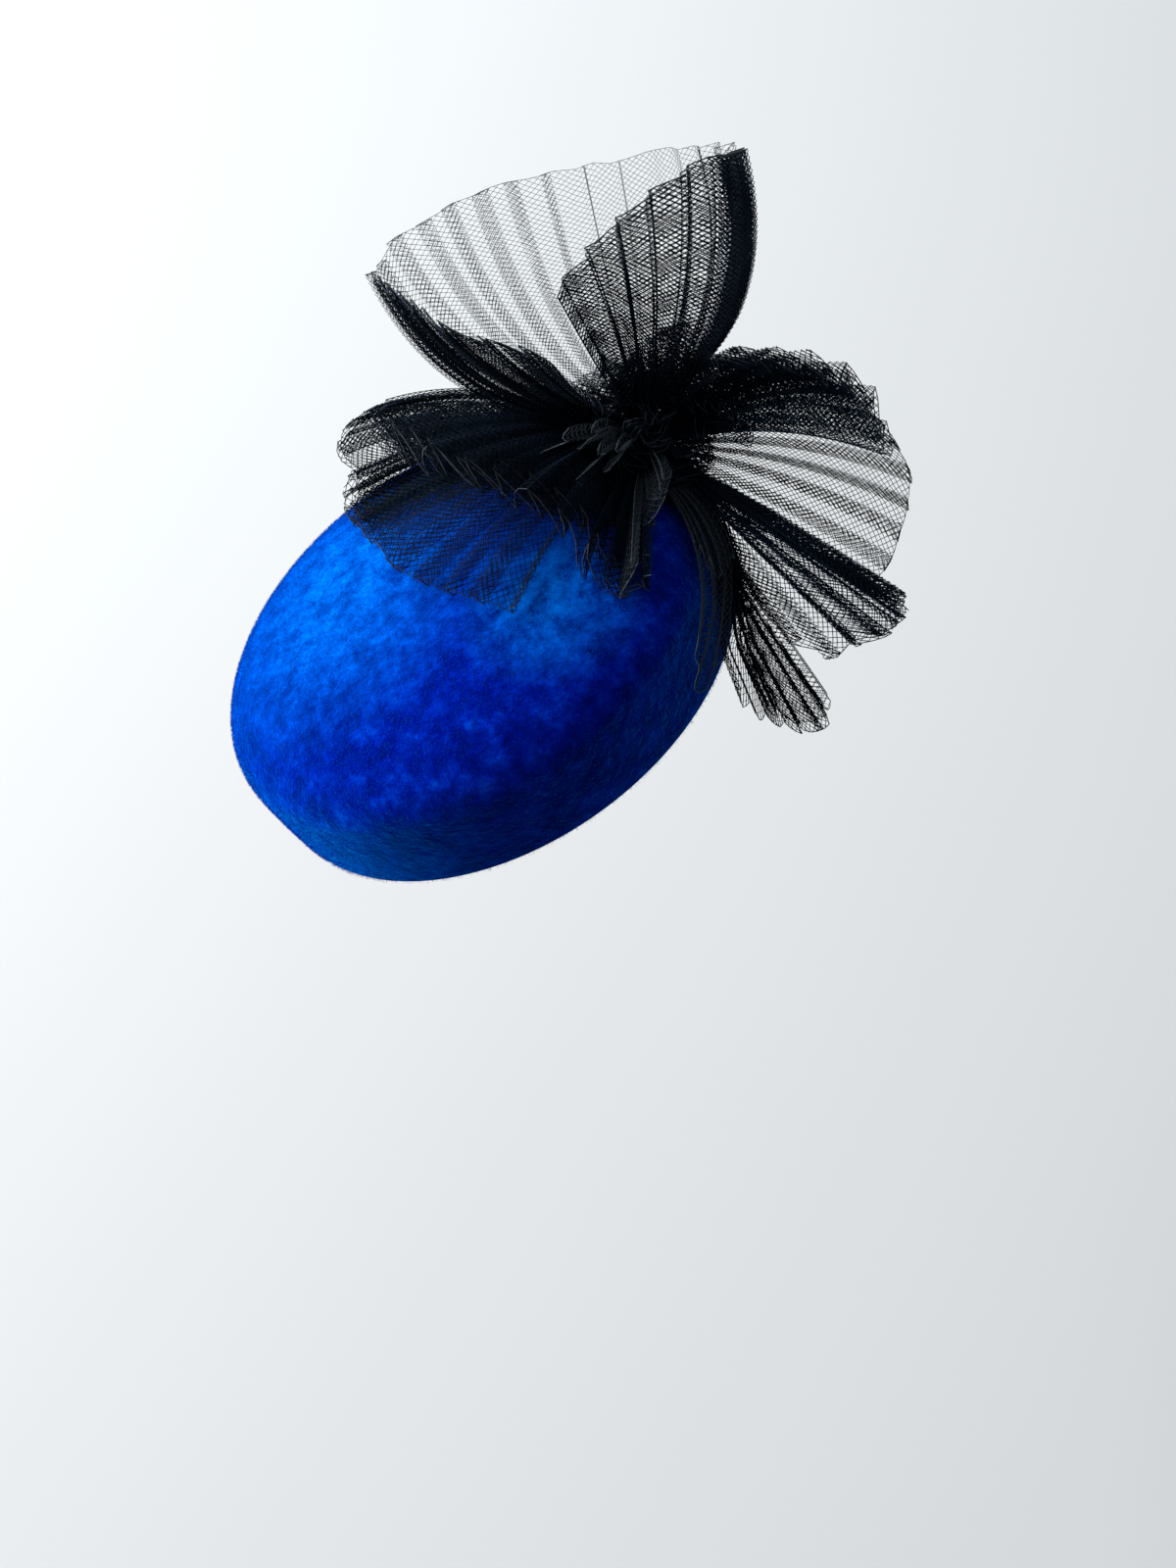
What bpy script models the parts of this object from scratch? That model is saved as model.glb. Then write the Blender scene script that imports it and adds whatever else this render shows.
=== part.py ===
"""Oval velvet pillbox hat with a gathered bow of pleated crinoline net.

Metres, +Z up along the crown's axis. The origin is the middle of the opening, in the plane of
the rim. +X is the hat's long axis, towards the end that carries the bow.
"""

import math

import bpy
import bmesh
import numpy as np

# Crown
CROWN_LENGTH = 0.180
CROWN_WIDTH = 0.162
WALL_HEIGHT = 0.030
DOME_RISE = 0.034
DOME_POWER = 1.85
RIM_INSET = 0.0015
CROWN_WALL = 0.0025
RIM_ROUND = 0.0009
RIM_SEGMENTS = 2
RIM_ANGLE = 60.0
CROWN_STEPS = 56
DOME_POINTS = 10
WALL_POINTS = 3
MERGE_DISTANCE = 0.00001
SLOPE_STEP_SHARE = 0.0001

# Gathered knot that holds the bow
KNOT_RADIUS = 0.011
KNOT_PLACE_SHARE = 0.86
KNOT_TURN = -4.0
KNOT_SEGMENTS = 24
KNOT_RINGS = 12
KNOT_FLUTES = 12
KNOT_FLUTE_DEPTH = 0.0005
SEAT_GAP = 0.0003

# Pleated net
NET_THICKNESS = 0.0012
PLEAT_DEPTH = 0.0030
PLEAT_FULL_SHARE = 0.45
PLEAT_STEEPNESS = 2.0
CROWN_CLEARANCE = 0.0040
STATIONS = 6
ROOT_GAP = 0.0006
CURVE_STEPS = 24

# The hat is worn tilted: this turn and rise give the way that is up then, in which the net arches
WORN_UP_TURN = 45.0
WORN_UP_RISE = 34.8

TOP_LOOP_REACH = 0.104
RIGHT_FAN_REACH = 0.092
RIGHT_LOOP_REACH = 0.100
LOWER_LEAF_REACH = 0.105
TAIL_REACH = 0.110
SIDE_LEAF_REACH = 0.085
LEFT_FAN_REACH = 0.110
LEFT_BACK_FAN_REACH = 0.120
FRONT_RUFFLE_REACH = 0.090
FLAP_REACH = 0.036

# A row for each rib of a fan: the way it leaves the knot, as a turn about +Z from +X and a rise
# above the rim's plane, both in degrees, then its reach and its arch as shares of the fan's reach
RIB = ("turn", "rise", "reach", "arch")
TOP_LOOP_RIBS = (
    (-138, 71, 0.56, 0.02),
    (-166, 70, 0.66, 0.03),
    (175, 65, 0.82, 0.05),
    (155, 62, 0.91, 0.09),
    (138, 55, 0.97, 0.13),
    (124, 46, 0.99, 0.15),
    (110, 42, 1.00, 0.15),
    (97, 38, 1.00, 0.15),
    (82, 31, 1.00, 0.14),
    (70, 26, 1.00, 0.14),
    (58, 23, 1.00, 0.14),
    (46, 22, 1.00, 0.14),
    (32, 27, 0.95, 0.14),
    (14, 38, 0.91, 0.14),
    (-5, 49, 0.95, 0.12),
    (-16, 57, 0.98, 0.10),
    (-21, 64, 0.93, 0.08),
    (-26, 70, 0.87, 0.06),
    (-35, 76, 0.80, 0.05),
    (-56, 80, 0.77, 0.03),
    (-105, 83, 0.70, 0.02),
)
RIGHT_FAN_RIBS = (
    (-47, -8, 0.93, 0.06),
    (-39, 3, 0.86, 0.06),
    (-38, 11, 0.78, 0.06),
    (-37, 20, 0.67, 0.05),
    (-37, 30, 0.57, 0.04),
    (-41, 38, 0.48, 0.03),
)
RIGHT_LOOP_RIBS = (
    (45, -16, 0.50, 0.05),
    (31, -21, 0.60, 0.06),
    (22, -26, 0.70, 0.06),
    (12, -30, 0.82, 0.06),
    (2, -35, 0.91, 0.06),
    (-7, -39, 0.97, 0.05),
    (-17, -43, 0.99, 0.05),
    (-29, -47, 0.97, 0.04),
    (-43, -51, 0.95, 0.02),
    (-54, -53, 0.93, 0.0),
)
TAIL_RIBS = (
    (-109, -35, 0.81, 0.0),
    (-107, -40, 0.89, 0.0),
    (-104, -45, 0.93, 0.0),
    (-99, -49, 1.00, 0.0),
    (-93, -52, 1.03, 0.0),
    (-89, -54, 0.98, 0.0),
)
SIDE_LEAF_RIBS = (
    (-115, -18, 0.84, 0.0),
    (-120, -25, 1.00, 0.0),
    (-117, -29, 0.95, 0.0),
    (-112, -31, 0.90, 0.0),
)
LEFT_FAN_RIBS = (
    (147, 10, 0.93, 0.08),
    (149, 3, 0.99, 0.08),
    (161, 5, 0.89, 0.08),
    (179, 8, 0.82, 0.08),
    (-168, 8, 0.77, 0.08),
    (-157, 7, 0.74, 0.08),
    (-148, 5, 0.72, 0.07),
)
LOWER_LEAF_RIBS = (
    (-65, -34, 0.87, 0.0),
    (-67, -28, 0.95, 0.0),
    (-70, -25, 1.00, 0.0),
    (-75, -24, 1.02, 0.0),
    (-79, -24, 1.00, 0.0),
    (-82, -25, 0.96, 0.0),
)
LEFT_BACK_FAN_RIBS = (
    (127, 9, 0.83, 0.07),
    (131, 6, 0.96, 0.07),
    (134, 2, 1.02, 0.07),
    (135, -3, 1.00, 0.07),
)
FRONT_RUFFLE_RIBS = (
    (151, 24, 0.95, 0.03),
    (161, 29, 0.85, 0.03),
    (173, 32, 0.79, 0.03),
    (-174, 33, 0.73, 0.03),
    (-165, 32, 0.67, 0.03),
    (-151, 25, 0.60, 0.04),
    (-140, 15, 0.59, 0.04),
    (-136, 5, 0.64, 0.04),
    (-128, -3, 0.70, 0.03),
    (-122, -4, 0.65, 0.03),
    (-118, -6, 0.67, 0.02),
)

# A row for each fan: its name, ribs, reach and pleats, which way its ribs arch, up as worn or
# out of the fan's own hollow side, then its pleats' depth as a share of PLEAT_DEPTH and how far
# above the crown it lies as a share of CROWN_CLEARANCE
FAN = ("name", "ribs", "reach", "pleats", "arch_way", "depth", "clearance")
FANS = (
    ("top_loop", TOP_LOOP_RIBS, TOP_LOOP_REACH, 30, "out", 1.00, 1.00),
    ("right_fan", RIGHT_FAN_RIBS, RIGHT_FAN_REACH, 7, "up", 1.00, 1.00),
    ("right_loop", RIGHT_LOOP_RIBS, RIGHT_LOOP_REACH, 12, "up", 1.00, 1.00),
    ("lower_leaf", LOWER_LEAF_RIBS, LOWER_LEAF_REACH, 5, "up", 0.80, 1.00),
    ("tail", TAIL_RIBS, TAIL_REACH, 6, "up", 0.67, 0.95),
    ("side_leaf", SIDE_LEAF_RIBS, SIDE_LEAF_REACH, 3, "up", 0.67, 2.20),
    ("left_fan", LEFT_FAN_RIBS, LEFT_FAN_REACH, 10, "up", 1.00, 1.38),
    ("left_back_fan", LEFT_BACK_FAN_RIBS, LEFT_BACK_FAN_REACH, 4, "up", 0.67, 1.00),
    ("front_ruffle", FRONT_RUFFLE_RIBS, FRONT_RUFFLE_REACH, 10, "up", 1.00, 1.00),
)

# A row for each short flap at the middle of the bow, then one for each rib of a flap, whose side
# is -1 or 1 at the flap's edges
FLAP = ("turn", "rise", "half_angle")
FLAPS = (
    (-140, 47, 8),
    (-122, 34, 8),
    (-103, 10, 8),
)
FLAP_RIB = ("side", "reach", "arch")
FLAP_RIBS = (
    (-1, 0.86, 0.05),
    (0, 1.00, 0.05),
    (1, 0.90, 0.05),
)
FLAP_PLEATS = 1
FLAP_DEPTH_SHARE = 0.5
FLAP_CLEARANCE_SHARE = 0.3

VELVET_BLUE = (0.004, 0.045, 0.42, 1.0)
NET_BLACK = (0.006, 0.008, 0.014, 1.0)


def clear_scene():
    for item in list(bpy.data.objects):
        bpy.data.objects.remove(item, do_unlink=True)


def new_collection(name):
    group = bpy.data.collections.new(name)
    bpy.context.scene.collection.children.link(group)
    return group


def new_material(name, colour, roughness, metallic=0.0):
    material = bpy.data.materials.new(name)
    material.use_nodes = True
    shader = material.node_tree.nodes["Principled BSDF"]
    shader.inputs["Base Color"].default_value = colour
    shader.inputs["Roughness"].default_value = roughness
    shader.inputs["Metallic"].default_value = metallic
    return material


def new_object(name, mesh, group, material):
    item = bpy.data.objects.new(name, mesh)
    group.objects.link(item)
    item.data.materials.append(material)
    return item


def dome_height(share):
    """Height of the crown's top above the rim, at a share of the way out to its fold."""
    return WALL_HEIGHT + DOME_RISE * (1.0 - share**DOME_POWER) ** (1.0 / DOME_POWER)


def crown_profile():
    """The crown's outer line over its long axis, from the top down to the rim."""
    points = []
    for step in range(DOME_POINTS + 1):
        angle = 0.5 * math.pi * step / DOME_POINTS
        share = math.sin(angle) ** (2.0 / DOME_POWER)
        points.append((0.5 * CROWN_LENGTH * share, dome_height(min(share, 1.0))))
    for step in range(1, WALL_POINTS + 1):
        down = step / WALL_POINTS
        inset = RIM_INSET * down**2
        points.append((0.5 * CROWN_LENGTH - inset, WALL_HEIGHT * (1.0 - down)))
    return points


def build_crown(group, material):
    """One hollow velvet wall: a turned profile made oval, thickened inwards, its rim rounded."""
    line = bpy.data.meshes.new("crown_profile")
    points = crown_profile()
    edges = [(index, index + 1) for index in range(len(points) - 1)]
    line.from_pydata([(x, 0.0, z) for x, z in points], edges, [])
    turned = bpy.data.objects.new("crown_turned", line)
    group.objects.link(turned)
    screw = turned.modifiers.new("Turn", "SCREW")
    screw.steps = CROWN_STEPS
    screw.render_steps = CROWN_STEPS
    screw.use_merge_vertices = True
    screw.merge_threshold = MERGE_DISTANCE
    graph = bpy.context.evaluated_depsgraph_get()
    mesh = bpy.data.meshes.new_from_object(turned.evaluated_get(graph))
    bpy.data.objects.remove(turned, do_unlink=True)
    for vertex in mesh.vertices:
        vertex.co.y *= CROWN_WIDTH / CROWN_LENGTH
    mesh.shade_smooth()
    crown = new_object("crown", mesh, group, material)
    wall = crown.modifiers.new("Wall", "SOLIDIFY")
    wall.thickness = CROWN_WALL
    wall.offset = -1.0
    wall.use_even_offset = True
    rim = crown.modifiers.new("Rim", "BEVEL")
    rim.width = RIM_ROUND
    rim.segments = RIM_SEGMENTS
    rim.limit_method = "ANGLE"
    rim.angle_limit = math.radians(RIM_ANGLE)
    return crown


def knot_centre():
    """The knot sits on the crown's top, out along the crown's own normal."""
    turn = math.radians(KNOT_TURN)
    half_length, half_width = 0.5 * CROWN_LENGTH, 0.5 * CROWN_WIDTH
    inner, outer = KNOT_PLACE_SHARE - SLOPE_STEP_SHARE, KNOT_PLACE_SHARE + SLOPE_STEP_SHARE
    slope = (dome_height(outer) - dome_height(inner)) / (outer - inner)
    seat = np.array([
        half_length * KNOT_PLACE_SHARE * math.cos(turn),
        half_width * KNOT_PLACE_SHARE * math.sin(turn),
        dome_height(KNOT_PLACE_SHARE),
    ])
    normal = np.array([
        -slope * math.cos(turn) / half_length,
        -slope * math.sin(turn) / half_width,
        1.0,
    ])
    return seat + normal / np.linalg.norm(normal) * (KNOT_RADIUS + SEAT_GAP)


def build_knot(group, material):
    """A small fluted ball of gathered net."""
    mesh = bpy.data.meshes.new("trim_knot")
    form = bmesh.new()
    bmesh.ops.create_uvsphere(
        form, u_segments=KNOT_SEGMENTS, v_segments=KNOT_RINGS, radius=KNOT_RADIUS
    )
    for vertex in form.verts:
        around = math.atan2(vertex.co.y, vertex.co.x)
        out = math.hypot(vertex.co.x, vertex.co.y) / KNOT_RADIUS
        dent = KNOT_FLUTE_DEPTH * out * (0.5 - 0.5 * math.cos(KNOT_FLUTES * around))
        vertex.co *= 1.0 - dent / KNOT_RADIUS
    form.to_mesh(mesh)
    form.free()
    mesh.shade_smooth()
    knot = new_object("trim_knot", mesh, group, material)
    knot.location = knot_centre()
    return knot


def direction(turn, rise):
    turn, rise = math.radians(turn), math.radians(rise)
    return np.array([
        math.cos(turn) * math.cos(rise),
        math.sin(turn) * math.cos(rise),
        math.sin(rise),
    ])


def smooth_curve(keys):
    """A smooth curve through the key rows, CURVE_STEPS points for each stretch."""
    keys = np.asarray(keys, float)
    padded = np.vstack([2 * keys[0] - keys[1], keys, 2 * keys[-1] - keys[-2]])
    rows = []
    for index in range(1, len(padded) - 2):
        before, start, end, after = padded[index - 1:index + 3]
        for step in range(CURVE_STEPS):
            t = step / CURVE_STEPS
            rows.append(0.5 * (
                2 * start
                + (end - before) * t
                + (2 * before - 5 * start + 4 * end - after) * t**2
                + (3 * start - before - 3 * end + after) * t**3
            ))
    rows.append(padded[-2])
    return np.array(rows)


def even_ribs(ribs, reach, count):
    """Tip and arch of each fold line, evenly spaced along the fan's free edge."""
    keys = []
    for row in ribs:
        rib = dict(zip(RIB, row))
        tip = direction(rib["turn"], rib["rise"]) * rib["reach"] * reach
        keys.append(np.append(tip, rib["arch"] * reach))
    curve = smooth_curve(keys)
    lengths = np.linalg.norm(np.diff(curve[:, :3], axis=0), axis=1)
    along = np.concatenate([[0.0], np.cumsum(lengths)])
    places = np.linspace(0.0, along[-1], count)
    spaced = [np.interp(places, along, curve[:, column]) for column in range(4)]
    spaced = np.stack(spaced, axis=1)
    return spaced[:, :3], spaced[:, 3]


def clear_of_crown(point, clearance):
    """The point, or where it lies over the crown if it would be in it or nearer than that."""
    half_length, half_width = 0.5 * CROWN_LENGTH, 0.5 * CROWN_WIDTH
    share = math.hypot(point[0] / half_length, point[1] / half_width)
    above = point[2] - WALL_HEIGHT
    if above > 0.0:
        middle = np.array([0.0, 0.0, WALL_HEIGHT])
        level = (share**DOME_POWER + (above / DOME_RISE) ** DOME_POWER) ** (1 / DOME_POWER)
    else:
        middle = np.array([0.0, 0.0, point[2]])
        level = share
    out = point - middle
    goal = 1.0 + clearance * level / np.linalg.norm(out)
    return middle + out * max(1.0, goal / level)


def fan_grid(ribs, reach, pleats, arch_way, depth, clearance):
    """Points of a pleated fan, a row for each fold line and a column for each station.

    Its pleats open from the knot outwards, and near it they are only as deep as the room between
    their fold lines lets a wall of NET_THICKNESS be.
    """
    count = 2 * pleats + 1
    centre = knot_centre()
    tips, arches = even_ribs(ribs, reach, count)
    ways = np.tile(direction(WORN_UP_TURN, WORN_UP_RISE), (count, 1))
    if arch_way == "out":
        ways = np.cross(tips, np.gradient(tips, axis=0))
        ways /= np.linalg.norm(ways, axis=1, keepdims=True)
    grid = np.zeros((count, STATIONS, 3))
    for row in range(count):
        first = (KNOT_RADIUS + ROOT_GAP) / np.linalg.norm(tips[row])
        for column in range(STATIONS):
            along = column / (STATIONS - 1)
            point = centre + tips[row] * (first + (1.0 - first) * along)
            point = point + ways[row] * arches[row] * 4.0 * along * (1.0 - along)
            grid[row, column] = clear_of_crown(point, clearance * CROWN_CLEARANCE)
    across, outwards = np.gradient(grid, axis=0), np.gradient(grid, axis=1)
    normals = np.cross(across, outwards)
    normals /= np.linalg.norm(normals, axis=2, keepdims=True)
    room = np.maximum(np.linalg.norm(across, axis=2) - NET_THICKNESS, 0.0)
    for row in range(count):
        side = 1.0 if row % 2 else -1.0
        for column in range(STATIONS):
            open_share = min(1.0, column / (STATIONS - 1) / PLEAT_FULL_SHARE)
            fold = min(depth * PLEAT_DEPTH * open_share, PLEAT_STEEPNESS * room[row, column])
            grid[row, column] += normals[row, column] * side * fold
    return grid


def build_fan(name, grid, group, material):
    """A thin pleated wall lofted through the fan's fold lines."""
    rows, columns = grid.shape[:2]
    faces = []
    for row in range(rows - 1):
        for column in range(columns - 1):
            corner = row * columns + column
            faces.append((corner, corner + 1, corner + columns + 1, corner + columns))
    mesh = bpy.data.meshes.new(name)
    mesh.from_pydata(grid.reshape(-1, 3).tolist(), [], faces)
    fan = new_object(name, mesh, group, material)
    wall = fan.modifiers.new("Wall", "SOLIDIFY")
    wall.thickness = NET_THICKNESS
    wall.offset = 0.0
    return fan


def flap_ribs(turn, rise, half_angle):
    """A flap's two edges and its middle, which reaches a little further."""
    ribs = []
    for row in FLAP_RIBS:
        rib = dict(zip(FLAP_RIB, row))
        across = rib["side"] * half_angle
        widened = turn + across / math.cos(math.radians(rise))
        ribs.append((widened, rise + across, rib["reach"], rib["arch"]))
    return ribs


def main():
    clear_scene()
    hat = new_collection("pillbox_hat")
    velvet = new_material("blue_velvet", VELVET_BLUE, 0.9)
    net = new_material("black_crinoline_net", NET_BLACK, 0.45)
    build_crown(hat, velvet)
    build_knot(hat, net)
    for row in FANS:
        fan = dict(zip(FAN, row))
        name = fan.pop("name")
        build_fan(name, fan_grid(**fan), hat, net)
    for index, row in enumerate(FLAPS, start=1):
        ribs = flap_ribs(**dict(zip(FLAP, row)))
        grid = fan_grid(
            ribs, FLAP_REACH, FLAP_PLEATS, "up", FLAP_DEPTH_SHARE, FLAP_CLEARANCE_SHARE
        )
        build_fan(f"centre_flap_{index}", grid, hat, net)


main()
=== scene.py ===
"""Looks of the velvet pillbox hat: its pile, its pleated net strand by strand, light and camera."""

import math

import bpy
import numpy as np
from mathutils import Matrix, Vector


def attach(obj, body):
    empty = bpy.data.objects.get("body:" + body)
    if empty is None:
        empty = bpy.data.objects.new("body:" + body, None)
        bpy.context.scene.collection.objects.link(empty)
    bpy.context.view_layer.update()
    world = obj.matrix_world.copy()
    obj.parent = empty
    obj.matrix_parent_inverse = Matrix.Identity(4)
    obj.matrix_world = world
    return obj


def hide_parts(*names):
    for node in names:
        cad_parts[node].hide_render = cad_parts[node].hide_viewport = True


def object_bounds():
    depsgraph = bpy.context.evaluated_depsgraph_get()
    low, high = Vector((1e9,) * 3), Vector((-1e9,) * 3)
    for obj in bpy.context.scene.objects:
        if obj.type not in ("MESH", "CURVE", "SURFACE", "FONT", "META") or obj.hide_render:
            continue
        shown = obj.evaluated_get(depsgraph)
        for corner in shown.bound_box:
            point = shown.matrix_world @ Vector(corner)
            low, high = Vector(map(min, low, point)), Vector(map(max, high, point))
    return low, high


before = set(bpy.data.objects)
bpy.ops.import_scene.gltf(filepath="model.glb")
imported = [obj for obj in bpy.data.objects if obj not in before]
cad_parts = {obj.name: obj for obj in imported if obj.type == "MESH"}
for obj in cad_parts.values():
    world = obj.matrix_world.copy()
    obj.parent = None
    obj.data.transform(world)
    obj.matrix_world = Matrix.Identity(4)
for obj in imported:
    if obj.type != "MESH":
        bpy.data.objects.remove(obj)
frame_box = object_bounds()

# Crown, as in the part's source
CROWN_LENGTH = 0.180
CROWN_WIDTH = 0.162
WALL_HEIGHT = 0.030
DOME_RISE = 0.034
DOME_POWER = 1.85
RIM_INSET = 0.0015
CROWN_WALL = 0.0025

# Knot
KNOT_RADIUS = 0.011
KNOT_PLACE_SHARE = 0.86
KNOT_TURN = -4.0
SEAT_GAP = 0.0003
SLOPE_STEP_SHARE = 0.0001
FLUTES = 12.0
FLUTE_DEPTH = 0.06
FLUTE_TWIST = 2.0

# Pleated net
PLEAT_DEPTH = 0.0030
PLEAT_FULL_SHARE = 0.45
CROWN_CLEARANCE = 0.0040
ROOT_GAP = 0.0006
CURVE_STEPS = 24
WORN_UP_TURN = 45.0
WORN_UP_RISE = 34.8

TOP_LOOP_REACH = 0.104
RIGHT_FAN_REACH = 0.092
RIGHT_LOOP_REACH = 0.100
LOWER_LEAF_REACH = 0.105
TAIL_REACH = 0.110
SIDE_LEAF_REACH = 0.085
LEFT_FAN_REACH = 0.110
LEFT_BACK_FAN_REACH = 0.120
FRONT_RUFFLE_REACH = 0.090
FLAP_REACH = 0.036

RIB = ("turn", "rise", "reach", "arch")
TOP_LOOP_RIBS = (
    (-138, 71, 0.56, 0.02),
    (-166, 70, 0.66, 0.03),
    (175, 65, 0.82, 0.05),
    (155, 62, 0.91, 0.09),
    (138, 55, 0.97, 0.13),
    (124, 46, 0.99, 0.15),
    (110, 42, 1.00, 0.15),
    (97, 38, 1.00, 0.15),
    (82, 31, 1.00, 0.14),
    (70, 26, 1.00, 0.14),
    (58, 23, 1.00, 0.14),
    (46, 22, 1.00, 0.14),
    (32, 27, 0.95, 0.14),
    (14, 38, 0.91, 0.14),
    (-5, 49, 0.95, 0.12),
    (-16, 57, 0.98, 0.10),
    (-21, 64, 0.93, 0.08),
    (-26, 70, 0.87, 0.06),
    (-35, 76, 0.80, 0.05),
    (-56, 80, 0.77, 0.03),
    (-105, 83, 0.70, 0.02),
)
RIGHT_FAN_RIBS = (
    (-47, -8, 0.93, 0.06),
    (-39, 3, 0.86, 0.06),
    (-38, 11, 0.78, 0.06),
    (-37, 20, 0.67, 0.05),
    (-37, 30, 0.57, 0.04),
    (-41, 38, 0.48, 0.03),
)
RIGHT_LOOP_RIBS = (
    (45, -16, 0.50, 0.05),
    (31, -21, 0.60, 0.06),
    (22, -26, 0.70, 0.06),
    (12, -30, 0.82, 0.06),
    (2, -35, 0.91, 0.06),
    (-7, -39, 0.97, 0.05),
    (-17, -43, 0.99, 0.05),
    (-29, -47, 0.97, 0.04),
    (-43, -51, 0.95, 0.02),
    (-54, -53, 0.93, 0.0),
)
TAIL_RIBS = (
    (-109, -35, 0.81, 0.0),
    (-107, -40, 0.89, 0.0),
    (-104, -45, 0.93, 0.0),
    (-99, -49, 1.00, 0.0),
    (-93, -52, 1.03, 0.0),
    (-89, -54, 0.98, 0.0),
)
SIDE_LEAF_RIBS = (
    (-115, -18, 0.84, 0.0),
    (-120, -25, 1.00, 0.0),
    (-117, -29, 0.95, 0.0),
    (-112, -31, 0.90, 0.0),
)
LEFT_FAN_RIBS = (
    (147, 10, 0.93, 0.08),
    (149, 3, 0.99, 0.08),
    (161, 5, 0.89, 0.08),
    (179, 8, 0.82, 0.08),
    (-168, 8, 0.77, 0.08),
    (-157, 7, 0.74, 0.08),
    (-148, 5, 0.72, 0.07),
)
LOWER_LEAF_RIBS = (
    (-65, -34, 0.87, 0.0),
    (-67, -28, 0.95, 0.0),
    (-70, -25, 1.00, 0.0),
    (-75, -24, 1.02, 0.0),
    (-79, -24, 1.00, 0.0),
    (-82, -25, 0.96, 0.0),
)
LEFT_BACK_FAN_RIBS = (
    (127, 9, 0.83, 0.07),
    (131, 6, 0.96, 0.07),
    (134, 2, 1.02, 0.07),
    (135, -3, 1.00, 0.07),
)
FRONT_RUFFLE_RIBS = (
    (151, 24, 0.95, 0.03),
    (161, 29, 0.85, 0.03),
    (173, 32, 0.79, 0.03),
    (-174, 33, 0.73, 0.03),
    (-165, 32, 0.67, 0.03),
    (-151, 25, 0.60, 0.04),
    (-140, 15, 0.59, 0.04),
    (-136, 5, 0.64, 0.04),
    (-128, -3, 0.70, 0.03),
    (-122, -4, 0.65, 0.03),
    (-118, -6, 0.67, 0.02),
)

# The net's pieces: slope is that of the strands, 1 where the cells are square, and the last two
# columns say how much greyer than near-black the piece and its free edge are, a painted highlight for
# glinting nylon
FAN = ("name", "ribs", "reach", "pleats", "arch_way", "clearance", "slope", "highlight_grey", "edge_highlight_grey")
FANS = (
    ("top_loop", TOP_LOOP_RIBS, TOP_LOOP_REACH, 30, "out", 1.00, 0.6, 0.00, 0.4),
    ("right_fan", RIGHT_FAN_RIBS, RIGHT_FAN_REACH, 7, "up", 1.00, 1.0, 0.00, 0.2),
    ("right_loop", RIGHT_LOOP_RIBS, RIGHT_LOOP_REACH, 12, "up", 1.00, 1.0, 0.00, 0.2),
    ("lower_leaf", LOWER_LEAF_RIBS, LOWER_LEAF_REACH, 5, "up", 1.00, 1.0, 0.00, 0.2),
    ("tail", TAIL_RIBS, TAIL_REACH, 6, "up", 0.95, 1.0, 0.00, 0.2),
    ("side_leaf", SIDE_LEAF_RIBS, SIDE_LEAF_REACH, 3, "up", 2.20, 1.0, 0.25, 0.8),
    ("left_fan", LEFT_FAN_RIBS, LEFT_FAN_REACH, 10, "up", 1.38, 1.0, 0.00, 0.2),
    ("left_back_fan", LEFT_BACK_FAN_RIBS, LEFT_BACK_FAN_REACH, 4, "up", 1.00, 1.0, 0.00, 0.2),
    ("front_ruffle", FRONT_RUFFLE_RIBS, FRONT_RUFFLE_REACH, 10, "up", 1.00, 1.0, 0.00, 0.6),
)

# How each fan's pleats lie, in rows across it: the place as a share of the fan's width, the
# pleats' depth as a share of PLEAT_DEPTH, their lean, the share of a fold's spacing by which
# every second fold lies over the next (from a half up three layers of net overlap), and the
# strands' thickness as a share of STRAND
FOLDINGS = {
    "top_loop": ((0.00, 0.4, 0.9, 1.10), (0.16, 0.5, 0.9, 1.00), (0.21, 0.5, 0.9, 0.68),
                 (0.30, 0.5, 0.9, 0.58), (0.44, 0.6, 0.9, 0.52), (0.48, 1.2, 0.47, 0.48),
                 (0.66, 1.2, 0.47, 0.50), (0.72, 1.0, 0.9, 0.95), (0.86, 1.0, 0.47, 1.35),
                 (1.00, 1.0, 0.47, 1.40)),
    "right_fan": ((0.0, 1.3, 0.9, 1.0), (1.0, 1.3, 1.0, 1.0)),
    "right_loop": ((0.0, 0.2, 1.10, 0.85), (1.0, 0.2, 1.10, 0.85)),
    "lower_leaf": ((0.0, 1.0, 1.2, 1.0), (1.0, 1.0, 1.2, 1.0)),
    "tail": ((0.0, 0.6, 0.5, 1.0), (1.0, 0.8, 1.2, 1.0)),
    "side_leaf": ((0.0, 0.3, 0.2, 1.0), (1.0, 0.3, 0.2, 1.0)),
    "left_fan": ((0.0, 1.0, 1.1, 1.0), (0.35, 0.9, 0.75, 0.85), (1.0, 0.9, 0.75, 0.85)),
    "left_back_fan": ((0.0, 0.8, 1.0, 0.9), (1.0, 0.8, 1.0, 0.9)),
    "front_ruffle": ((0.0, 1.9, 1.0, 1.0), (1.0, 1.5, 1.1, 1.0)),
    "flap": ((0.0, 0.6, 1.0, 1.0), (1.0, 0.6, 1.0, 1.0)),
}

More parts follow.
